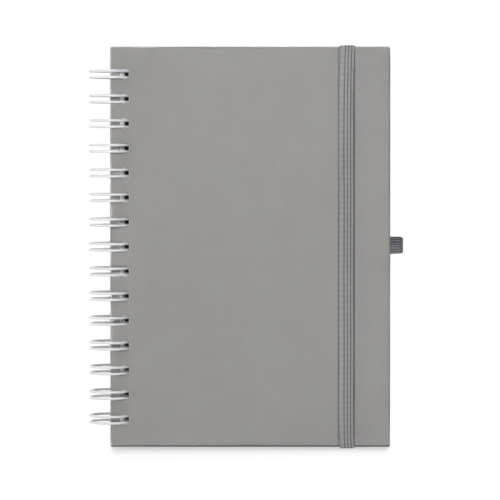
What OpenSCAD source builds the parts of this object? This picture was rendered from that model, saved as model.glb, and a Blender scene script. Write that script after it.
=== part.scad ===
// Hard-cover notebook bound with a twin-loop wire, with an elastic closure band and a pen loop.
// It lies on its back cover: the spine is at -X, the head of the page at +Y and the front cover on top.
// The origin is the middle of the back cover's outer face.

/* [Covers] */
// Width of a cover, from the spine edge to the fore edge
cover_w = 144; // [120:1:220]
// Height of a cover, from head to tail
cover_l = 206; // [150:1:300]
// Thickness of the greyboard inside a cover
board_t = 1.65; // [1.6:0.05:3]
// Thickness of the covering sheet that is wrapped round the board
covering_t = 0.2; // [0.15:0.05:0.3]
// Thickness of the endpaper that is pasted inside a cover
endpaper_t = 0.15; // [0.1:0.05:0.25]
// How far the covering is turned in over the inside of the board
turn_in = 15; // [14:0.5:20]
// How far the endpaper stops short of the edges of the cover
endpaper_inset = 2.6; // [2:0.1:4]
// Radius of the rounded long edges of a covered board
edge_r = 0.8; // [0.4:0.1:0.9]
// Radius of the corners of a cover, seen from the front
corner_r = 1.0; // [0.5:0.1:3]

/* [Pages] */
// Number of sheets in the page block
sheet_count = 76; // [50:1:90]
// Thickness of one sheet
sheet_t = 0.105; // [0.08:0.005:0.11]
// Room between the page block and each cover
page_play = 0.1; // [0.05:0.05:0.2]
// Distance from the spine edge of the covers to that of the pages
page_set_in = 2; // [1:0.25:3]
// How far the covers stand out past the pages at head, tail and fore edge
cover_overhang = 3; // [2.8:0.1:5]

/* [Punching] */
// Width of a hole, across the spine
hole_w = 5.2; // [4.6:0.1:6]
// Clearance along the spine between a twin loop and the ends of its hole
hole_play = 0.45; // [0.3:0.05:1]
// Clearance across the spine between the loops and the far side of the holes in the covers
cover_hole_play = 0.7; // [0.3:0.1:1]
// Clearance across the spine between the loops and the near side of the holes in the pages
page_hole_play = 1.1; // [0.4:0.1:1.4]
// Radius of the corners of a hole
hole_r = 2.2; // [1:0.1:2.4]

/* [Wire binding] */
// Outer diameter of the closed loops
ring_d = 21.6; // [19:0.1:23]
// Distance from one twin loop to the next
loop_pitch = 12.7; // [11:0.1:16]
// Distance between the two strands of a twin loop
loop_w = 3.3; // [2.8:0.1:4]
// Thickness of the coated wire
wire_d = 1.3; // [1:0.05:1.4]
// Radius of the bend between a strand and the bridge to the next loop
bridge_r = 1.3; // [1:0.1:1.8]
// Gap between the tip of a loop and the bridges where the wire is closed
tip_gap = 0.25; // [0.1:0.05:0.6]
// Angle below the middle of the book at which the bridges lie
bridge_angle = 50; // [48:1:60]
// Length of the cut ends of the wire past the last bends
wire_end = 1.2; // [0.5:0.1:3]
// Least distance from head or tail to the middle of the first loop
loop_margin = 11; // [9:0.5:16]
// Distance from the axis of the loops to the spine edges of the covers
axis_out = 0.5; // [0.3:0.1:0.8]

/* [Closure band] */
// Width of the elastic closure band
band_w = 7; // [5:0.5:12]
// Thickness of the closure band
band_t = 0.8; // [0.6:0.05:1]
// Number of ribs across the closure band
band_ribs = 5; // [3:1:8]
// Distance from the fore edge of the covers to the middle of the band
band_in = 22.3; // [18:0.1:40]
// Clearance between the band and the covers
band_gap = 0.05; // [0:0.05:0.15]
// Distance from head or tail to the slot that takes the end of the band
slot_in = 9; // [7:0.5:12]
// Length of each end of the band inside the cover
band_tail = 12; // [6:0.5:20]

/* [Pen loop] */
// Width of the elastic pen loop, along the fore edge
pen_w = 8.8; // [6:0.2:16]
// Thickness of the pen loop's elastic
pen_t = 0.6; // [0.5:0.05:0.65]
// Number of ribs across the pen loop
pen_ribs = 7; // [4:1:10]
// How far the pen loop stands out past the fore edge
pen_reach = 7; // [6.5:0.5:12]
// Room between the top of the pen loop and the inside of the front cover
pen_room = 1.1; // [0.8:0.1:1.6]
// Radius of the upper bends of the pen loop, as a share of the height between them
pen_top_round = 0.45; // [0.3:0.05:0.5]
// Radius of its lower bend, as a share of the same height
pen_low_round = 0.4; // [0.3:0.05:0.45]
// Length of the pen loop's ends inside the cover
pen_tail = 12; // [6:0.5:20]
// How far the middle of the pen loop lies from the middle of the book, towards the head
pen_y = 0.7; // [-60:0.1:60]

/* [Elastic] */
// Depth of the grooves between the ribs of an elastic
rib_depth = 0.12; // [0.05:0.01:0.14]
// Clearance round an elastic in its slot and its pocket
slot_play = 0.15; // [0.1:0.05:0.2]

/* [Hidden] */
eps = 0.01;
rib_steps = 6;

// Levels inside one cover, measured from its outer face
board_top = covering_t + board_t;
turned_top = board_top + covering_t;
cover_t = turned_top + endpaper_t;

// Book: the two covers, the pages and the room between them
block_t = sheet_count * sheet_t;
book_t = 2 * cover_t + 2 * page_play + block_t;
spine_x = -cover_w / 2;
fore_x = cover_w / 2;
head_y = cover_l / 2;

// Loops: as many as fit between the margins, spread evenly about the middle
loop_count = floor((cover_l - 2 * loop_margin) / loop_pitch) + 1;
first_loop_y = -(loop_count - 1) * loop_pitch / 2;
ring_x = spine_x - axis_out;
ring_z = book_t / 2;
ring_r = (ring_d - wire_d) / 2;
// The tip of a loop and the bends beside it clear each other by tip_gap
bend_y = loop_w / 2 + bridge_r;
seam = sqrt(pow(bend_y + wire_d + tip_gap, 2) - pow(bend_y, 2));
strand_angle = 360 - seam / ring_r * 180 / PI;
collar_l = 0.2;
collar_extra = 0.03;
collar_angle = collar_l / 2 / ring_r * 180 / PI;
// Each loop carries half of the bridge to the next, and the halves overlap by a hair
half_bridge = loop_pitch / 2 - bend_y + eps;

// Punched holes, placed by where the loops pass through the covers and the pages. The radius of
// their corners is at most corner_limit of either side.
hole_l = loop_w + wire_d + 2 * hole_play;
corner_limit = 0.45;
hole_round = min(hole_r, corner_limit * hole_w, corner_limit * hole_l);
ring_outer = ring_r + wire_d / 2;
ring_inner = ring_r - wire_d / 2;
cover_reach = sqrt(pow(ring_outer, 2) - pow(ring_z - cover_t, 2));
page_near = sqrt(pow(ring_inner, 2) - pow(block_t / 2, 2));
cover_hole_x = ring_x + cover_reach + cover_hole_play - hole_w;
page_hole_x = ring_x + page_near - page_hole_play;

// Closure band: where its slots and its pockets lie
band_x = fore_x - band_in;
slot_y = head_y - slot_in;
slot_bend = band_t / 2 + slot_play + eps;
wrap_bend = edge_r + band_gap + band_t / 2;
band_out_z = -band_gap - band_t / 2;
band_pocket_z = board_top - band_t / 2;

// Pen loop: its ends come through a slit just outside the endpaper and the pages
pen_layers = 2 * pen_t;
pen_clear = 0.4;
slit_x = max(fore_x - endpaper_inset, fore_x - cover_overhang + pen_clear) + pen_t + slot_play;
pen_low_z = turned_top + band_gap + pen_t / 2;
pen_top_z = book_t - cover_t - pen_room - pen_t / 2;
pen_foot_r = pen_t / 2 + slot_play;
pen_top_r = pen_top_round * (pen_top_z - pen_low_z);
pen_side_r = pen_low_round * (pen_top_z - pen_low_z);

// Rounded rectangle with one corner at the origin
module round_rect(w, l, r) {
    translate([r, 0]) square([w - 2 * r, l]);
    translate([0, r]) square([w, l - 2 * r]);
    for (x = [r, w - r], y = [r, l - r]) translate([x, y]) circle(r = r, $fn = 48);
}

// Slab centred in X and Y on the plane Z = 0, with rounded corners and rounded long edges
module soft_slab(w, l, t, edge, corner) {
    intersection() {
        linear_extrude(t) translate([-w / 2, -l / 2]) round_rect(w, l, corner);
        translate([0, l / 2, 0]) rotate([90, 0, 0]) linear_extrude(l) translate([-w / 2, 0])
            round_rect(w, t, edge);
        translate([-w / 2, 0, 0]) rotate([90, 0, 90]) linear_extrude(w) translate([-l / 2, 0])
            round_rect(l, t, edge);
    }
}

// The row of punched holes, as an outline whose near side is at hole_x
module hole_row(hole_x) {
    for (i = [0 : loop_count - 1])
        translate([hole_x, first_loop_y + i * loop_pitch - hole_l / 2])
            round_rect(hole_w, hole_l, hole_round);
}

module punch_cover() {
    translate([0, 0, -eps]) linear_extrude(cover_t + 2 * eps) hole_row(cover_hole_x);
}

// Outline of the opening that the turned-in covering leaves on the inside of a board
module window(inset) {
    translate([inset - cover_w / 2, inset - cover_l / 2])
        square([cover_w - 2 * inset, cover_l - 2 * inset]);
}

// A cover lies with its outer face on the plane Z = 0 and its inner face upward
module board() {
    difference() {
        translate([0, 0, covering_t]) soft_slab(
            cover_w - 2 * covering_t, cover_l - 2 * covering_t, board_t,
            edge_r - covering_t, corner_r - covering_t
        );
        punch_cover();
    }
}

module covering() {
    difference() {
        soft_slab(cover_w, cover_l, turned_top, edge_r, corner_r);
        translate([0, 0, covering_t]) soft_slab(
            cover_w - 2 * covering_t, cover_l - 2 * covering_t, board_t,
            edge_r - covering_t, corner_r - covering_t
        );
        translate([0, 0, board_top - edge_r]) linear_extrude(edge_r + cover_t) window(turn_in);
        punch_cover();
    }
}

// The endpaper covers the turned-in edges and is pressed down onto the board between them
module endpaper() {
    difference() {
        union() {
            translate([0, 0, turned_top]) linear_extrude(endpaper_t) difference() {
                window(endpaper_inset);
                window(turn_in);
            }
            translate([0, 0, board_top]) linear_extrude(covering_t + endpaper_t) difference() {
                window(turn_in);
                window(turn_in + endpaper_t);
            }
            translate([0, 0, board_top]) linear_extrude(endpaper_t) window(turn_in);
        }
        punch_cover();
    }
}

// Turns a cover over so that it closes the front of the book
module as_front() {
    translate([0, 0, book_t]) mirror([0, 0, 1]) children();
}

// Section of a ribbed elastic: the width along X and the thickness along Y
function rib_half(t, u, ribs) = t / 2 - rib_depth * (0.5 + 0.5 * cos(360 * ribs * u));

module elastic_section(w, t, ribs) {
    count = ribs * rib_steps;
    upper = [for (i = [0 : count]) [w * (i / count - 0.5), rib_half(t, i / count, ribs)]];
    lower = [for (i = [count : -1 : 0]) [w * (i / count - 0.5), -rib_half(t, i / count, ribs)]];
    polygon(concat(upper, lower));
}

// Bend of a ribbed elastic that travels up Z and turns towards +Y by the angle turn
module elastic_bend(w, t, ribs, turn, radius) {
    translate([0, radius, 0]) rotate([90, 0, -90]) rotate_extrude(angle = turn, $fn = 96)
        translate([radius, 0]) rotate(90) elastic_section(w, t, ribs);
}

// Ribbed elastic along a route of steps, each [straight length, turn in degrees, bend radius].
// It travels up Z with its width along X, and a positive turn is towards +Y.
module elastic(w, t, ribs, route, i = 0) {
    if (i < len(route)) {
        straight = route[i][0];
        turn = route[i][1];
        side = sign(turn) * route[i][2];
        linear_extrude(straight) elastic_section(w, t, ribs);
        translate([0, 0, straight]) {
            if (turn > 0) elastic_bend(w, t, ribs, turn, route[i][2]);
            if (turn < 0) mirror([0, 1, 0]) elastic_bend(w, t, ribs, -turn, route[i][2]);
            translate([0, side, 0]) rotate([-turn, 0, 0]) translate([0, -side, 0])
                elastic(w, t, ribs, route, i + 1);
        }
    }
}

// Slots and pockets in the back cover that take the two ends of the closure band
module band_slots() {
    slot_l = band_t + 2 * slot_play;
    slot_w = band_w + 2 * slot_play;
    pocket_l = band_tail + slot_bend + slot_play;
    for (m = [0, 1]) mirror([0, m, 0]) {
        translate([band_x - slot_w / 2, slot_y - slot_l / 2, -eps])
            cube([slot_w, slot_l, board_top + eps]);
        translate([band_x - slot_w / 2, slot_y - pocket_l, board_top - band_t - band_gap])
            cube([slot_w, pocket_l, band_t + band_gap + eps]);
    }
}

// Slit in the turned-in covering and pocket in the board that take the ends of the pen loop
module pen_slit(bottom, top) {
    translate([slit_x - pen_t - slot_play, pen_y - pen_w / 2 - slot_play, bottom])
        cube([pen_layers + 2 * slot_play, pen_w + 2 * slot_play, top - bottom]);
}

module pen_pocket() {
    floor_z = board_top - pen_layers - band_gap;
    pen_slit(floor_z, cover_t);
    translate([slit_x - pen_t - pen_tail - slot_play, pen_y - pen_w / 2 - slot_play, floor_z])
        cube([pen_tail + slot_play + eps, pen_w + 2 * slot_play, pen_layers + band_gap + eps]);
}

// One half of a twin loop about the axis Z, with its root on X: a strand, the bend at its root
// and a straight wire away from it. A short collar, a hair wider, joins the strand to the tip.
module half_loop(straight) {
    translate([0, 0, loop_w / 2])
        rotate_extrude(angle = strand_angle - collar_angle, $fn = 180)
            translate([ring_r, 0]) circle(d = wire_d, $fn = 24);
    translate([ring_r, 0, bend_y]) rotate([0, 90, 0]) rotate([0, 0, -90])
        rotate_extrude(angle = 90, $fn = 48) translate([bridge_r, 0])
            circle(d = wire_d, $fn = 24);
    translate([ring_r, -bridge_r, bend_y]) cylinder(d = wire_d, h = straight, $fn = 24);
    rotate([0, 0, strand_angle]) translate([ring_r, -collar_l, loop_w / 2])
        rotate([-90, 0, 0])
            cylinder(d = wire_d + collar_extra, h = 1.5 * collar_l, $fn = 24);
}

// Rounded tip that joins the two strands of a twin loop
module loop_tip() {
    rotate([0, 0, strand_angle]) translate([ring_r, 0, 0]) rotate([0, 90, 0])
        rotate_extrude(angle = 180, $fn = 48) translate([loop_w / 2, 0])
            circle(d = wire_d, $fn = 24);
}

// One wire: the twin loops, the bridges between them and a cut end past the first and the last
module wire_binding() {
    color("white") translate([ring_x, 0, ring_z]) rotate([90, 0, 0])
        rotate([0, 0, -bridge_angle])
            for (i = [0 : loop_count - 1]) translate([0, 0, first_loop_y + i * loop_pitch]) {
                half_loop(i == loop_count - 1 ? wire_end : half_bridge);
                mirror([0, 0, 1]) half_loop(i == 0 ? wire_end : half_bridge);
                loop_tip();
            }
}

module page_block() {
    edge_x = spine_x + page_set_in;
    page_w = cover_w - page_set_in - cover_overhang;
    page_l = cover_l - 2 * cover_overhang;
    color("ivory") translate([0, 0, cover_t + page_play]) linear_extrude(block_t) difference() {
        translate([edge_x, -page_l / 2]) square([page_w, page_l]);
        hole_row(page_hole_x);
    }
}

// The band leaves a pocket in the back cover, goes through its slot to the outside, round the
// head, down the front, round the tail and back through the other slot
module elastic_band() {
    slot_run = band_pocket_z - band_out_z - 2 * slot_bend;
    back_run = slot_in - slot_bend - edge_r;
    side_run = book_t - 2 * edge_r;
    front_run = cover_l - 2 * edge_r;
    route = [
        [band_tail, 90, slot_bend],
        [slot_run, -90, slot_bend],
        [back_run, -90, wrap_bend],
        [side_run, -90, wrap_bend],
        [front_run, -90, wrap_bend],
        [side_run, -90, wrap_bend],
        [back_run, -90, slot_bend],
        [slot_run, 90, slot_bend],
        [band_tail, 0, 0]
    ];
    color("darkgray") translate([band_x, slot_y - slot_bend - band_tail, band_pocket_z])
        rotate([-90, 0, 0]) elastic(band_w, band_t, band_ribs, route);
}

// The loop rises out of its slit, turns over and comes back along the cover to the same slit
module pen_loop() {
    right_x = fore_x + pen_reach - pen_t / 2;
    left_x = slit_x - pen_t / 2;
    foot_x = slit_x + pen_t / 2;
    foot_z = pen_low_z - pen_foot_r;
    floor_z = board_top - pen_layers;
    route = [
        [pen_top_z - pen_top_r - foot_z, -90, pen_top_r],
        [right_x - left_x - 2 * pen_top_r, -90, pen_top_r],
        [pen_top_z - pen_low_z - pen_top_r - pen_side_r, -90, pen_side_r],
        [right_x - foot_x - pen_side_r - pen_foot_r, 90, pen_foot_r]
    ];
    color("dimgray") translate([0, pen_y, 0]) {
        translate([left_x, 0, foot_z]) rotate([0, 0, 90]) elastic(pen_w, pen_t, pen_ribs, route);
        translate([slit_x - pen_t, -pen_w / 2, floor_z])
            cube([pen_layers, pen_w, foot_z - floor_z]);
        translate([slit_x - pen_t - pen_tail, -pen_w / 2, floor_z])
            cube([pen_tail, pen_w, pen_layers]);
    }
}

module back_board() {
    color("tan") difference() {
        board();
        band_slots();
        pen_pocket();
    }
}

module back_covering() {
    color("gray") difference() {
        covering();
        intersection() {
            band_slots();
            translate([-cover_w, -cover_l, -1]) cube([2 * cover_w, 2 * cover_l, 1 + covering_t]);
        }
        pen_slit(board_top - eps, cover_t);
    }
}

module back_endpaper() {
    color("whitesmoke") endpaper();
}

module front_board() {
    color("tan") as_front() board();
}

module front_covering() {
    color("gray") as_front() covering();
}

module front_endpaper() {
    color("whitesmoke") as_front() endpaper();
}

page_block();
wire_binding();
elastic_band();
pen_loop();
back_board();
back_covering();
back_endpaper();
front_board();
front_covering();
front_endpaper();
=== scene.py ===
# Hard-cover notebook with a twin-loop wire: finishes, elastics, punched edges, camera and light.
import math

import bmesh
import bpy
from mathutils import Matrix, Vector


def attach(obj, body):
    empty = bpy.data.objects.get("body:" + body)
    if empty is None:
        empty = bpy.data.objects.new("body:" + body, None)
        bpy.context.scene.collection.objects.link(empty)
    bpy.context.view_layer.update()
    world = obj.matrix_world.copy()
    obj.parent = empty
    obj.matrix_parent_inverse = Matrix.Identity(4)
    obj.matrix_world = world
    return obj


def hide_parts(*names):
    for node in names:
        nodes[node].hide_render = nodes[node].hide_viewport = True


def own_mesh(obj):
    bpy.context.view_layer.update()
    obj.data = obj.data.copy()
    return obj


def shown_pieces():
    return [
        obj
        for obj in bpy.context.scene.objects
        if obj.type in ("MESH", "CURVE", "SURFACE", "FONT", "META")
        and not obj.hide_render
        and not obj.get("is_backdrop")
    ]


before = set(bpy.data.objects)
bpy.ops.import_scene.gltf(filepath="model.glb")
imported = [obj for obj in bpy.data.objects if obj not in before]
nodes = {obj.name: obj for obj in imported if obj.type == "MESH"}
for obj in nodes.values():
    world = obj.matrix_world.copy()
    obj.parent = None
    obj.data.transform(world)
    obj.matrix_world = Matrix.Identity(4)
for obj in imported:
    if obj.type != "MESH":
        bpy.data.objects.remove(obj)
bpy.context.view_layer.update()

# Sizes, in millimetres, as the part's source has them
COVER_W, COVER_L, COVER_EDGE_R = 144.0, 206.0, 0.8
BOOK_T = 12.58
HEAD_Y, FORE_X = COVER_L / 2, COVER_W / 2
LOOP_COUNT, LOOP_PITCH = 15, 12.7
RING_X, RING_Z, RING_R = -72.5, BOOK_T / 2, 10.8
HOLE_X, HOLE_W, HOLE_L, HOLE_R = -67.004, 5.2, 5.5, 2.2
BAND_X, BAND_W, BAND_T, BAND_GAP = 49.7, 7.0, 0.8, 0.05
PEN_Y, PEN_W, PEN_T, PEN_REACH = 0.7, 8.8, 0.6, 7.0
# The cut ends of the wire: the middle of its steel core, and where the cuts begin along the spine
CUT_X, CUT_Z, CUT_Y, CORE_R = -66.97, -2.32, 93.03, 0.5


def mm(x, y, z):
    """A point given in millimetres, in metres."""
    return Vector((x, y, z)) / 1000


# Materials
def linear(hex_colour):
    """An sRGB hex colour as linear RGBA."""
    parts = [int(hex_colour[i:i + 2], 16) / 255 for i in (0, 2, 4)]
    return [p / 12.92 if p <= 0.04045 else ((p + 0.055) / 1.055) ** 2.4 for p in parts] + [1]


def add_node(tree, kind, values=None, links=None, **settings):
    """Adds a shader node with its settings, its values and what feeds its sockets."""
    made = tree.nodes.new("ShaderNode" + kind)
    for name, value in settings.items():
        setattr(made, name, value)
    for socket, value in (values or {}).items():
        made.inputs[socket].default_value = value
    for socket, source in (links or {}).items():
        tree.links.new(source, made.inputs[socket])
    return made


def new_material(name, **shader_values):
    """A material with its shader, and its tree for the nodes that feed it."""
    material = bpy.data.materials.new(name)
    material.use_nodes = True
    tree = material.node_tree
    tree.nodes.clear()
    names = {key.replace("_", " "): value for key, value in shader_values.items()}
    shader = add_node(tree, "BsdfPrincipled", names)
    add_node(tree, "OutputMaterial", links={"Surface": shader.outputs[0]})
    return material, tree, shader


def millimetres(tree, stretch=(1, 1, 1)):
    """Object coordinates in millimetres, with each axis divided by its stretch."""
    place = add_node(tree, "TexCoord")
    return add_node(
        tree, "Mapping", {"Scale": [1000 / s for s in stretch]},
        {"Vector": place.outputs["Object"]}, vector_type="POINT"
    ).outputs[0]


def mix_colours(tree, factor, first, second):
    """Mixes two colours, each a fixed colour or a socket."""
    made = add_node(tree, "Mix", links={0: factor}, data_type="RGBA")
    for socket, colour in ((6, first), (7, second)):
        if isinstance(colour, list):
            made.inputs[socket].default_value = colour
        else:
            tree.links.new(colour, made.inputs[socket])
    return made.outputs[2]


def between(tree, value, low, high, start=0.0, end=1.0):
    """Maps a value from low..high to start..end, smoothly and without passing either."""
    return add_node(
        tree, "MapRange", {1: low, 2: high, 3: start, 4: end}, {0: value},
        interpolation_type="SMOOTHSTEP"
    ).outputs[0]


def maths(tree, operation, first, second=0.0):
    """One step of arithmetic on sockets or numbers."""
    made = add_node(tree, "Math", operation=operation)
    for socket, value in enumerate((first, second)):
        if isinstance(value, (int, float)):
            made.inputs[socket].default_value = value
        else:
            tree.links.new(value, made.inputs[socket])
    return made.outputs[0]


def seen_directly(tree):
    """1 for rays from the camera, off a glossy surface or through a clear one, 0 for the rest."""
    rays = add_node(tree, "LightPath").outputs
    seen = maths(tree, "MAXIMUM", rays["Is Camera Ray"], rays["Is Glossy Ray"])
    return maths(tree, "MAXIMUM", seen, rays["Is Transmission Ray"])


def bump(tree, height, distance_mm, strength=1.0, below=None):
    """A bump of a real depth in millimetres, over another one if below is given."""
    links = {"Height": height}
    if below is not None:
        links["Normal"] = below
    return add_node(
        tree, "Bump", {"Strength": strength, "Distance": distance_mm / 1000}, links
    ).outputs[0]


def covering_material(name, first, second, highlight_tone):
    # Bookbinding leatherette, a matte coating embossed on paper: an even warm grey that takes
    # light softly, with a pebble grain of a third of a millimetre. The folds at the spine and the
    # head are painted paler, a painted highlight, and the folds at the fore edge and the tail are
    # painted darker, a painted shade, as are two lines of painted shadow beside the closure band.
    material, tree, shader = new_material(name, Roughness=0.66, IOR=1.45)
    place = millimetres(tree)
    cloud = add_node(tree, "TexNoise", {"Scale": 0.07, "Detail": 3.0}, {"Vector": place})
    grain = add_node(tree, "TexVoronoi", {"Scale": 2.6, "Randomness": 1.0}, {"Vector": place})
    fibre = add_node(tree, "TexNoise", {"Scale": 5.0, "Detail": 4.0}, {"Vector": place})
    soft = between(tree, cloud.outputs[0], 0.3, 0.7)
    base = mix_colours(tree, soft, linear(first), linear(second))
    axes = add_node(tree, "SeparateXYZ", links={0: place})
    edge_light_and_shade = [
        between(tree, maths(tree, "MULTIPLY", axes.outputs[axis], sign), half - reach, half - full)
        for axis, sign, half, reach, full in (
            (0, -1, FORE_X, 1.3, 0.1), (1, 1, HEAD_Y, 1.1, 0.1),
            (0, 1, FORE_X, 1.2, 0.1), (1, -1, HEAD_Y, 1.3, 0.35)
        )
    ]
    spine, head, fore, tail = edge_light_and_shade
    # Paler tone at the spine and head folds: a painted highlight
    painted_highlight = maths(tree, "MAXIMUM", spine, head)
    # On the front the painted shade is darkest at the fold of the tail and in the painted shadow
    # at the fore side of the band, and lighter in the one at its spine side
    on_front = between(tree, axes.outputs[2], BOOK_T - 1.2, BOOK_T - 0.5)
    lines, line_half = tail, 0.9
    for off_band, share in ((-4.25, 0.6), (3.65, 1.0)):
        off_line = maths(tree, "SUBTRACT", axes.outputs[0], BAND_X + off_band)
        line = between(tree, maths(tree, "ABSOLUTE", off_line), 0.0, line_half, share, 0.0)
        lines = maths(tree, "MAXIMUM", lines, line)
    painted_shade = maths(tree, "MULTIPLY", lines, on_front)
    for shaded_side, share in ((fore, 0.2), (tail, 0.3)):
        painted_shade = maths(tree, "MAXIMUM", painted_shade, maths(tree, "MULTIPLY", shaded_side, share))
    uneven = between(tree, fibre.outputs[0], 0.35, 0.65, 0.75, 1.0)
    paler = mix_colours(
        tree, maths(tree, "MULTIPLY", painted_highlight, uneven), base, linear(highlight_tone)
    )
    # 3a3936 is the colour of the painted shade at the tail and fore folds and beside the band
    tree.links.new(
        mix_colours(tree, maths(tree, "MULTIPLY", painted_shade, uneven), paler, linear("3a3936")),
        shader.inputs["Base Color"]
    )
    pebbles = bump(tree, grain.outputs[0], 0.02, 0.5)
    tree.links.new(bump(tree, fibre.outputs[0], 0.012, 0.6, pebbles), shader.inputs["Normal"])
    return material


def wire_material():
    # Steel wire with a nylon coating baked on: an almost white satin skin, smooth with a slight
    # waviness, and bare bright steel only where the wire was cut
    material, tree, shader = new_material(
        "nylon_coated_steel", IOR=1.53, Coat_Weight=0.8, Coat_Roughness=0.15
    )
    place = millimetres(tree)
    skin = add_node(tree, "TexNoise", {"Scale": 0.8, "Detail": 1.0}, {"Vector": place})
    axes = add_node(tree, "SeparateXYZ", links={0: place})
    across = add_node(tree, "CombineXYZ", links={0: axes.outputs[0], 2: axes.outputs[2]})
    from_core = add_node(
        tree, "VectorMath", {1: (CUT_X, 0, CUT_Z)}, {0: across.outputs[0]}, operation="DISTANCE"
    )
    in_core = maths(tree, "LESS_THAN", from_core.outputs["Value"], CORE_R)
    at_cut = maths(tree, "GREATER_THAN", maths(tree, "ABSOLUTE", axes.outputs[1]), CUT_Y)
    steel = maths(tree, "MULTIPLY", in_core, at_cut)
    tone = between(tree, skin.outputs[0], 0.3, 0.7)
    coat = mix_colours(tree, tone, linear("f5f5f8"), linear("f9f9fb"))
    tree.links.new(
        mix_colours(tree, steel, coat, linear("9a9a9c")), shader.inputs["Base Color"]
    )
    tree.links.new(steel, shader.inputs["Metallic"])
    tree.links.new(
        between(tree, skin.outputs[0], 0.3, 0.7, 0.2, 0.28), shader.inputs["Roughness"]
    )
    tree.links.new(bump(tree, skin.outputs[0], 0.008, 0.4), shader.inputs["Normal"])
    return material


def elastic_material(name, light, dark, stitch_mm):
    # Elastic tape of polyester yarn knitted over rubber cords: soft and dull, with a chevron of
    # stitches down each rib, painted shade in the grooves, and a faint bloom of loose fibre
    material, tree, shader = new_material(
        name, Roughness=0.85, Sheen_Weight=0.25, Sheen_Roughness=0.4
    )
    unwrapped = add_node(tree, "UVMap", uv_map="along_the_tape")
    parts = add_node(tree, "SeparateXYZ", links={0: unwrapped.outputs[0]})
    rib = add_node(tree, "Attribute", attribute_name="rib_height")
    place = millimetres(tree)
    fuzz = add_node(tree, "TexNoise", {"Scale": 6.0, "Detail": 3.0}, {"Vector": place})
    # U holds the place across one rib, from -1 to 1, and V the length along the tape
    slant = maths(tree, "MULTIPLY", maths(tree, "ABSOLUTE", parts.outputs[0]), 0.45)
    turns = maths(tree, "ADD", maths(tree, "DIVIDE", parts.outputs[1], stitch_mm), slant)
    wave = maths(tree, "SINE", maths(tree, "MULTIPLY", turns, 2 * math.pi))
    stitch = maths(tree, "MULTIPLY_ADD", wave, 0.5)
    stitch.node.inputs[2].default_value = 0.5  # moves the wave from -1..1 to 0..1
    height = between(tree, rib.outputs["Fac"], 0.2, 0.9)
    yarn = mix_colours(
        tree, maths(tree, "MULTIPLY", stitch, height), linear(dark), linear(light)
    )
    # Low on the rib, in the grooves, the dark colour is painted shade
    base = mix_colours(tree, height, linear(dark), yarn)
    speckled = mix_colours(
        tree, between(tree, fuzz.outputs[0], 0.4, 0.75, 0.0, 0.3), base, linear(light)
    )
    tree.links.new(speckled, shader.inputs["Base Color"])
    stitches = bump(tree, stitch, 0.06, 0.7)
    tree.links.new(bump(tree, fuzz.outputs[0], 0.03, 0.5, stitches), shader.inputs["Normal"])
    return material


def pages_material():
    # Uncoated offset paper, guillotined: slightly warm white, and at the cut edges fine uneven
    # lines, drawn at every third sheet because single sheets of 0.1 mm are too fine to show
    material, tree, shader = new_material("uncoated_writing_paper", Roughness=0.88)
    place = millimetres(tree)
    layers = millimetres(tree, (60, 60, 0.3))
    sheets = add_node(tree, "TexNoise", {"Scale": 1.0, "Detail": 4.0}, {"Vector": layers})
    fibre = add_node(tree, "TexNoise", {"Scale": 3.0, "Detail": 4.0}, {"Vector": place})
    normal = add_node(tree, "NewGeometry").outputs["Normal"]
    turned = add_node(tree, "SeparateXYZ", links={0: normal})
    edge = maths(tree, "LESS_THAN", maths(tree, "ABSOLUTE", turned.outputs[2]), 0.5)
    lines = maths(tree, "MULTIPLY", edge, between(tree, sheets.outputs[0], 0.42, 0.62))
    tree.links.new(
        mix_colours(tree, lines, linear("f3f3f5"), linear("cdcbc8")), shader.inputs["Base Color"]
    )
    cut = bump(tree, lines, 0.05, 0.6)
    tree.links.new(bump(tree, fibre.outputs[0], 0.01, 0.4, cut), shader.inputs["Normal"])
    return material


def board_material():
    # Greyboard of pulped waste paper, rolled in layers: warm grey with dark and pale fibres
    material, tree, shader = new_material("pulped_greyboard", Roughness=0.93)
    place = millimetres(tree)
    fibres = add_node(
        tree, "TexNoise", {"Scale": 2.0, "Detail": 6.0, "Roughness": 0.7}, {"Vector": place}
    )
    layers = add_node(
        tree, "TexNoise", {"Scale": 1.0, "Detail": 2.0}, {"Vector": millimetres(tree, (9, 9, 0.2))}
    )
    pulp = mix_colours(
        tree, between(tree, fibres.outputs[0], 0.35, 0.65), linear("7c756b"), linear("a49d91")
    )
    tree.links.new(
        mix_colours(tree, between(tree, layers.outputs[0], 0.4, 0.7, 0.0, 0.5), pulp,
                    linear("8d867b")), shader.inputs["Base Color"]
    )
    tree.links.new(bump(tree, fibres.outputs[0], 0.05, 0.6), shader.inputs["Normal"])
    return material


def endpaper_material():
    # Uncoated paper pasted down with water-based glue: white, matte, with a slight cockle
    material, tree, shader = new_material("pasted_endpaper", Roughness=0.86)
    place = millimetres(tree)
    cockle = add_node(tree, "TexNoise", {"Scale": 0.06, "Detail": 2.0}, {"Vector": place})
    fibre = add_node(tree, "TexNoise", {"Scale": 3.0, "Detail": 4.0}, {"Vector": place})
    tree.links.new(
        mix_colours(tree, between(tree, fibre.outputs[0], 0.3, 0.7), linear("ecebe7"),
                    linear("f3f2ef")), shader.inputs["Base Color"]
    )
    waves = bump(tree, cockle.outputs[0], 0.25, 0.5)
    tree.links.new(bump(tree, fibre.outputs[0], 0.01, 0.4, waves), shader.inputs["Normal"])
    return material


covering = covering_material("embossed_leatherette", "9c9b99", "9d9d9a", "c0c0bd")
# The covering drawn into the holes is paler than the face: a painted highlight on the hole rims
rim = covering_material("drawn_in_leatherette", "b6b6b3", "bbbbb8", "c6c6c3")
greyboard = board_material()
endpaper = endpaper_material()
finishes = {
    "page_block": pages_material(), "wire_binding": wire_material(),
    "back_board": greyboard, "front_board": greyboard,
    "back_covering": covering, "front_covering": covering,
    "back_endpaper": endpaper, "front_endpaper": endpaper,
}
for name, material in finishes.items():
    nodes[name].data.materials.clear()
    nodes[name].data.materials.append(material)


# Pieces
def new_object(name, data):
    """An object in the scene."""
    made = bpy.data.objects.new(name, data)
    bpy.context.scene.collection.objects.link(made)
    return made


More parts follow.
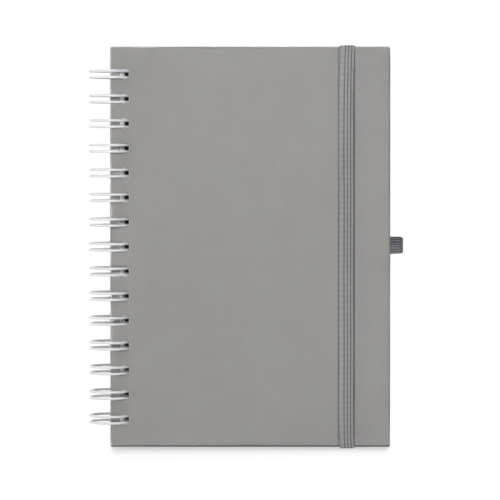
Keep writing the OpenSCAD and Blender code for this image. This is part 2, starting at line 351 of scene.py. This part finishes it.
def new_piece(name, bm, material, body):
    """Turns a finished bmesh, in millimetres, into a piece that rides on a body."""
    bmesh.ops.scale(bm, vec=(0.001, 0.001, 0.001), verts=bm.verts)
    bmesh.ops.recalc_face_normals(bm, faces=bm.faces)
    mesh = bpy.data.meshes.new(name)
    bm.to_mesh(mesh)
    bm.free()
    mesh.materials.append(material)
    mesh.polygons.foreach_set("use_smooth", [True] * len(mesh.polygons))
    piece = new_object(name, mesh)
    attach(piece, body)
    return piece


def extruded(bm, edges):
    """Extrudes a chain of edges, and gives the new vertices and the new chain."""
    made = bmesh.ops.extrude_edge_only(bm, edges=edges)["geom"]
    verts = [g for g in made if isinstance(g, bmesh.types.BMVert)]
    chain = [g for g in made if isinstance(g, bmesh.types.BMEdge)
             and g.verts[0] in verts and g.verts[1] in verts]
    return verts, chain


def punched_rims(name, body, face_z, inward):
    """The covering drawn a little way into each punched hole of a cover, rounded at the face and
    widest at the fore side, where the loops pull. inward is 1 where the board lies above the
    face and -1 where it lies below."""
    bm = bmesh.new()
    sink, steps, rim_w, rim_h, depth = 0.02, 4, 0.6, 0.5, 0.9
    # How much of the rim's width is taken back at the spine side, and at head and tail
    spine_less, sides_less = 0.45, 0.8
    for i in range(LOOP_COUNT):
        middle = Vector((HOLE_X + HOLE_W / 2, (i - (LOOP_COUNT - 1) / 2) * LOOP_PITCH, 0))
        corners = bmesh.ops.create_grid(bm, x_segments=1, y_segments=1, size=0.5)["verts"]
        bmesh.ops.scale(bm, vec=(HOLE_W + 2 * sink, HOLE_L + 2 * sink, 1), verts=corners)
        bmesh.ops.translate(bm, vec=middle, verts=corners)
        rounded = bmesh.ops.bevel(
            bm, geom=corners, affect="VERTICES", offset=HOLE_R, offset_type="OFFSET",
            segments=6, profile=0.5, material=-1
        )
        plate = rounded["verts"][0].link_faces[0]
        outer = list(plate.edges)
        bmesh.ops.inset_individual(bm, faces=[plate], thickness=sink, depth=0)
        for step in range(steps):
            turned = [math.radians(90 * k / steps) for k in (step, step + 1)]
            across = rim_w * (math.cos(turned[0]) - math.cos(turned[1]))
            down = rim_h * (math.sin(turned[1]) - math.sin(turned[0]))
            inward_step, down_step = down * rim_w / rim_h, across * rim_h / rim_w
            bmesh.ops.inset_individual(
                bm, faces=[plate], thickness=inward_step, depth=-down_step
            )
            half_l = max(v.co.y for v in plate.verts) - middle.y
            fore = max(v.co.x for v in plate.verts)
            half_w = (fore - min(v.co.x for v in plate.verts)) / 2
            bmesh.ops.scale(
                bm, verts=list(plate.verts), space=Matrix.Translation((-fore, -middle.y, 0)),
                vec=(1 + spine_less * inward_step / half_w,
                     1 + sides_less * inward_step / half_l, 1)
            )
        inner = list(plate.edges)
        bmesh.ops.delete(bm, geom=[plate], context="FACES_ONLY")
        lower = []
        for ring, reach in ((outer, depth), (inner, depth - rim_h)):
            verts, chain = extruded(bm, ring)
            bmesh.ops.translate(bm, vec=(0, 0, -reach), verts=verts)
            lower += chain
        bmesh.ops.bridge_loops(bm, edges=lower)
    bmesh.ops.scale(bm, vec=(1, 1, -inward), verts=bm.verts)
    bmesh.ops.translate(bm, vec=(0, 0, face_z), verts=bm.verts)
    return new_piece(name, bm, rim, body)


def ribbed_outline(bm, width, thickness, grooves):
    """Closed outline of a ribbed tape, across X and through Y. Each groove is its place as a share
    of the width and its depth. A vertex remembers its height on its rib and its place across it."""
    height = bm.verts.layers.float.new("rib_height")
    across = bm.verts.layers.float.new("across_rib")
    bm.verts.layers.float.new("along")
    edge_depth = thickness * 0.42
    places = [(0.0, edge_depth), *grooves, (1.0, edge_depth)]
    steps, half = 8, []
    for i, (left, right) in enumerate(zip(places, places[1:])):
        for k in range(steps + (i == len(places) - 2)):
            u = left[0] + (right[0] - left[0]) * k / steps
            side = 2 * k / steps - 1
            depth = left[1] if side < 0 else right[1]
            drop = depth * abs(side) ** 2.4
            half.append((width * (u - 0.5), thickness / 2 - drop, 1 - drop / edge_depth, side))
    verts = []
    for x, z, h, side in half + [(x, -z, h, side) for x, z, h, side in reversed(half)]:
        vert = bm.verts.new((x, z, 0))
        vert[height], vert[across] = h, side
        verts.append(vert)
    return [bm.edges.new((a, b)) for a, b in zip(verts, verts[1:] + verts[:1])]


def sweep(bm, edges, route, stride):
    """Draws an outline along +Z and through bends towards +Y, for a route of
    (straight length, turn in degrees, radius), all in millimetres."""
    along = bm.verts.layers.float["along"]
    place, heading, up = Vector((0, 0, 0)), Vector((0, 0, 1)), Vector((0, 1, 0))
    travelled = 0.0
    caps = [edges]
    for straight, turn, radius in route:
        steps = max(1, round(straight / stride))
        for _ in range(steps if straight > 0 else 0):
            verts, edges = extruded(bm, edges)
            bmesh.ops.translate(bm, vec=heading * straight / steps, verts=verts)
            travelled += straight / steps
            for vert in verts:
                vert[along] = travelled
        place = place + heading * straight
        if turn == 0:
            continue
        side = 1 if turn > 0 else -1
        centre = place + up * radius * side
        axis = heading.cross(up) * side
        bends = max(3, round(abs(turn) / 11.25))
        for _ in range(bends):
            verts, edges = extruded(bm, edges)
            bmesh.ops.rotate(
                bm, cent=centre, verts=verts,
                matrix=Matrix.Rotation(math.radians(abs(turn)) / bends, 3, axis)
            )
            travelled += math.radians(abs(turn)) / bends * radius
            for vert in verts:
                vert[along] = travelled
        spin = Matrix.Rotation(math.radians(abs(turn)), 3, axis)
        place = centre + spin @ (place - centre)
        heading, up = spin @ heading, spin @ up
    caps.append(edges)
    for cap in caps:
        bmesh.ops.contextual_create(bm, geom=cap)


def unwrap_tape(bm):
    """UV map of a tape: the place across its rib, and the length along it in millimetres."""
    across, along = (bm.verts.layers.float[n] for n in ("across_rib", "along"))
    uv = bm.loops.layers.uv.new("along_the_tape")
    for face in bm.faces:
        for corner in face.loops:
            corner[uv].uv = (corner.vert[across], corner.vert[along])


def turn_tape(bm, columns, origin):
    """Moves a tape from its own axes to the book's: columns are where its X, Y and Z go."""
    matrix = Matrix(columns).transposed().to_4x4()
    bmesh.ops.transform(bm, matrix=matrix, verts=bm.verts)
    bmesh.ops.translate(bm, vec=origin, verts=bm.verts)


def closure_band():
    """The band leaves its slot in the back cover, goes round the head, down the front, round the
    tail and back into its other slot, with the uneven ribs that the photo shows."""
    bm = bmesh.new()
    grooves = ((0.17, 0.07), (0.33, 0.3), (0.56, 0.26), (0.785, 0.3))
    outline = ribbed_outline(bm, BAND_W, BAND_T, grooves)
    slot_in, slot_bend, into_slot = 9.0, 0.56, 1.2
    off_cover = BAND_GAP + BAND_T / 2
    wrap = COVER_EDGE_R + off_cover
    back_run = slot_in - slot_bend - COVER_EDGE_R
    side_run, front_run = BOOK_T - 2 * COVER_EDGE_R, COVER_L - 2 * COVER_EDGE_R
    route = [
        (into_slot, -90, slot_bend), (back_run, -90, wrap), (side_run, -90, wrap),
        (front_run, -90, wrap), (side_run, -90, wrap), (back_run, -90, slot_bend),
        (into_slot, 0, 0)
    ]
    sweep(bm, outline, route, stride=3.0)
    unwrap_tape(bm)
    # It starts down through the slot: its Z goes to -Z, and its Y, the way it may turn, to -Y
    turn_tape(
        bm, ((1, 0, 0), (0, -1, 0), (0, 0, -1)),
        (BAND_X, HEAD_Y - slot_in, -off_cover + slot_bend + into_slot)
    )
    # Off the back cover the band is a little wider than its slots, leans towards the fore edge at
    # head and tail, spreads at its spine side between them, and wavers on the front
    wider, head_lean, tail_lean, middle_lean, spread, waver = 1.04, 0.5, 0.2, 0.12, 0.45, 0.05
    for vert in bm.verts:
        off_ends = 1 - math.exp(-max(0, HEAD_Y - abs(vert.co.y)) / 8)
        lean = head_lean * math.exp(-max(0, HEAD_Y - vert.co.y) / 9)
        lean += tail_lean * math.exp(-max(0, HEAD_Y + vert.co.y) / 6)
        lean -= middle_lean * off_ends
        spine_side = max(0, (BAND_X - vert.co.x) / (BAND_W / 2)) ** 1.5
        if vert.co.z > 2:
            vert.co.x = BAND_X + (vert.co.x - BAND_X) * wider + lean
            vert.co.x -= spread * off_ends * spine_side
        vert.co.x += waver * math.sin(vert.co.y / 11) if vert.co.z > BOOK_T - 1 else 0
    material = elastic_material("knitted_band_elastic", "cdcfd1", "4a4b4d", 0.62)
    band = new_piece("closure_band", bm, material, "back_cover")
    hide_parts("elastic_band")
    return band


def pen_holder():
    """The pen loop rises out of its slit, turns over and comes back under itself."""
    bm = bmesh.new()
    ribs, groove = 7, 0.25
    outline = ribbed_outline(bm, PEN_W, PEN_T, [(k / ribs, groove) for k in range(1, ribs)])
    slit_x, low_z, top_z, foot_r = 70.15, 2.4, 8.98, 0.45
    top_r, side_r = 1.5, 1.8
    left_x, right_x = slit_x - PEN_T / 2, FORE_X + PEN_REACH - PEN_T / 2
    foot_x, foot_z, floor_z = slit_x + PEN_T / 2, low_z - foot_r, 0.65
    route = [
        (top_z - top_r - floor_z, -90, top_r), (right_x - left_x - 2 * top_r, -90, top_r),
        (top_z - low_z - top_r - side_r, -90, side_r),
        (right_x - foot_x - side_r - foot_r, 90, foot_r), (foot_z - floor_z, 0, 0)
    ]
    sweep(bm, outline, route, stride=0.8)
    unwrap_tape(bm)
    turn_tape(bm, ((0, 1, 0), (-1, 0, 0), (0, 0, 1)), (left_x, PEN_Y, floor_z))
    # Away from the cover the loop narrows, most at its outer fold, and its lower layer is pulled
    # towards the head
    slimmer, fold_slimmer, fold_share, pulled, twist = 0.07, 0.12, 0.25, 0.25, 0.3
    for vert in bm.verts:
        out = min(1, max(0, (vert.co.x - FORE_X) / PEN_REACH))
        ease = out * out * (3 - 2 * out)
        lifted = (vert.co.z - low_z) / (top_z - low_z)
        at_fold = max(0, (out - 1 + fold_share) / fold_share)
        narrow = 1 - slimmer * ease - fold_slimmer * at_fold ** 2
        vert.co.y = PEN_Y + (vert.co.y - PEN_Y) * narrow + ease * (pulled - twist * lifted)
    # The near-black 171718 is the painted shade of its grooves
    material = elastic_material("knitted_loop_elastic", "b2b2b5", "171718", 0.62)
    loop = new_piece("pen_holder", bm, material, "back_cover")
    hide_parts("pen_loop")
    return loop


band = closure_band()
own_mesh(band)
holder = pen_holder()
punched_rims("front_hole_rims", "front_cover", BOOK_T - 0.01, -1)
punched_rims("back_hole_rims", "back_cover", 0.01, 1)


# Floor: it runs just under the loops and the closure band, which the closed book lies on
FLOOR_TONE, FLOOR_GAP = 0.15, 0.01


def floor_material():
    # White paper sweep: white to the camera and dimmed by the book's shadow; where the book lies on
    # it, its colour is painted near black and its glow is cut, a painted shade
    material, tree, shader = new_material("white_paper_sweep", Roughness=1.0)
    shader.inputs["Specular IOR Level"].default_value = 0
    seen = seen_directly(tree)
    axes = add_node(tree, "SeparateXYZ", links={0: millimetres(tree)})
    beyond = [
        between(tree, maths(tree, "ABSOLUTE", axes.outputs[k]), reach - 3, reach - 1)
        for k, reach in ((0, FORE_X), (1, HEAD_Y))
    ]
    open_sheet = maths(tree, "MAXIMUM", *beyond)
    # Inside the book's footprint: painted shade, near black and with no glow
    tree.links.new(
        mix_colours(tree, open_sheet, [0.02, 0.02, 0.02, 1], [FLOOR_TONE] * 3 + [1]),
        shader.inputs["Base Color"]
    )
    shader.inputs["Emission Color"].default_value = [1, 1, 1, 1]
    glow = maths(tree, "MULTIPLY", maths(tree, "MULTIPLY", seen, open_sheet), 0.55)
    tree.links.new(glow, shader.inputs["Emission Strength"])
    # Seen from below the sheet is clear, so that the back of the book can be looked at
    clear = add_node(tree, "BsdfTransparent")
    below = add_node(tree, "NewGeometry").outputs["Backfacing"]
    surface = add_node(
        tree, "MixShader", links={0: below, 1: shader.outputs[0], 2: clear.outputs[0]}
    )
    output = [n for n in tree.nodes if n.bl_idname == "ShaderNodeOutputMaterial"][0]
    tree.links.new(surface.outputs[0], output.inputs["Surface"])
    return material


def make_floor():
    """A sheet of 8 m, so wide that its ends stay out of sight, that slopes up from the loops to
    the fore side of the band."""
    bm = bmesh.new()
    bmesh.ops.create_grid(bm, x_segments=2, y_segments=2, size=4)
    ring_low, band_low = RING_Z - RING_R - FLOOR_GAP, -BAND_GAP - BAND_T - FLOOR_GAP
    slope = math.atan2(band_low - ring_low, BAND_X + BAND_W / 2 - RING_X)
    bmesh.ops.rotate(bm, verts=bm.verts, matrix=Matrix.Rotation(-slope, 3, "Y"))
    bmesh.ops.translate(bm, vec=mm(RING_X, 0, ring_low), verts=bm.verts)
    mesh = bpy.data.meshes.new("paper_sweep")
    bm.to_mesh(mesh)
    bm.free()
    mesh.materials.append(floor_material())
    floor = new_object("paper_sweep", mesh)
    floor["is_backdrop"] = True
    return floor


floor = make_floor()

# Camera: straight above the cover, a metre and a half away, a little towards the head
PX_PER_MM, DISTANCE, FRAME_PX, SENSOR = 1.945, 1500.0, 500, 36
camera_data = bpy.data.cameras.new("camera")
camera_data.lens = SENSOR * DISTANCE * PX_PER_MM / FRAME_PX
camera_data.shift_y = -0.10
camera = new_object("camera", camera_data)
stand = Vector((-0.1, 52.4, BOOK_T + DISTANCE))
aim = Vector((-0.1, 24.2, BOOK_T))
camera.location = stand / 1000
camera.rotation_euler = (math.atan2(aim.y - stand.y, DISTANCE), 0, 0)
camera_data.clip_start, camera_data.clip_end = 0.05, 20
bpy.context.scene.camera = camera


# Light: lamps above and from the left, in line with the loops, a near one from the head that falls
# off towards the tail, a low one for the far sides and the back, and an even room. The floor has
# lamps of its own, because the photo's shadow falls only at the tail.
def lamp(name, kind, place, strength, spread, receivers, blockers=None):
    """A lamp that shines from a place, in metres, on the objects of one collection. Its spread is
    an angle in degrees for the sun kind, and its width in metres for the area kind."""
    data = bpy.data.lights.new(name, kind)
    data.energy = strength
    if kind == "SUN":
        data.angle = math.radians(spread)
    else:
        data.shape, data.size = "DISK", spread
    made = new_object(name, data)
    made.location = place
    made.rotation_euler = Vector(place).to_track_quat("Z", "Y").to_euler()
    made.visible_camera = False
    made.light_linking.receiver_collection = receivers
    if blockers is not None:
        made.light_linking.blocker_collection = blockers


def collection_of(name, pieces):
    """A collection for light linking, outside the scene's own tree."""
    made = bpy.data.collections.new(name)
    for piece in pieces:
        made.objects.link(piece)
    return made


book = collection_of("lit_book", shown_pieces())
lit_below = collection_of("lit_from_below", [
    *(nodes[name] for name in finishes if name != "wire_binding"), band, holder
])
sweep_only = collection_of("lit_floor", [floor])
solid_book = collection_of("shading_book", [
    nodes[name] for name in ("front_covering", "front_board", "page_block", "back_covering")
])
lamp("high_lamp", "SUN", (0.0, 0.0, 1.0), 1.07, 6, book)
lamp("left_lamp", "SUN", (-0.9, 0.0, 0.42), 0.85, 6, book)
lamp("upper_lamp", "AREA", (0.0, 0.2, 0.5), 0.72, 0.09, book)
lamp("under_lamp", "SUN", (0.65, -0.3, -0.7), 1.8, 8, lit_below, book)
for elevation, spread, share in ((77, 15, 0.38), (60, 24, 0.08)):
    rise = math.radians(elevation)
    place = (0, math.cos(rise), math.sin(rise))
    strength = share * math.pi / (FLOOR_TONE * math.sin(rise))
    lamp(f"floor_lamp_{share:.2f}", "SUN", place, strength, spread, sweep_only, solid_book)

# Room: white to the camera, and an even light at a low level for the book
ROOM_LIGHT = 0.15
world = bpy.data.worlds.new("room")
bpy.context.scene.world = world
world.use_nodes = True
room = world.node_tree
room.nodes.clear()
strength = add_node(
    room, "MapRange", {1: 0.0, 2: 1.0, 3: ROOM_LIGHT, 4: 1.0}, {0: seen_directly(room)}
).outputs[0]
background = add_node(room, "Background", {"Color": [1, 1, 1, 1]}, {"Strength": strength})
add_node(room, "OutputWorld", links={"Surface": background.outputs[0]})

bpy.context.scene.view_settings.view_transform = "Standard"
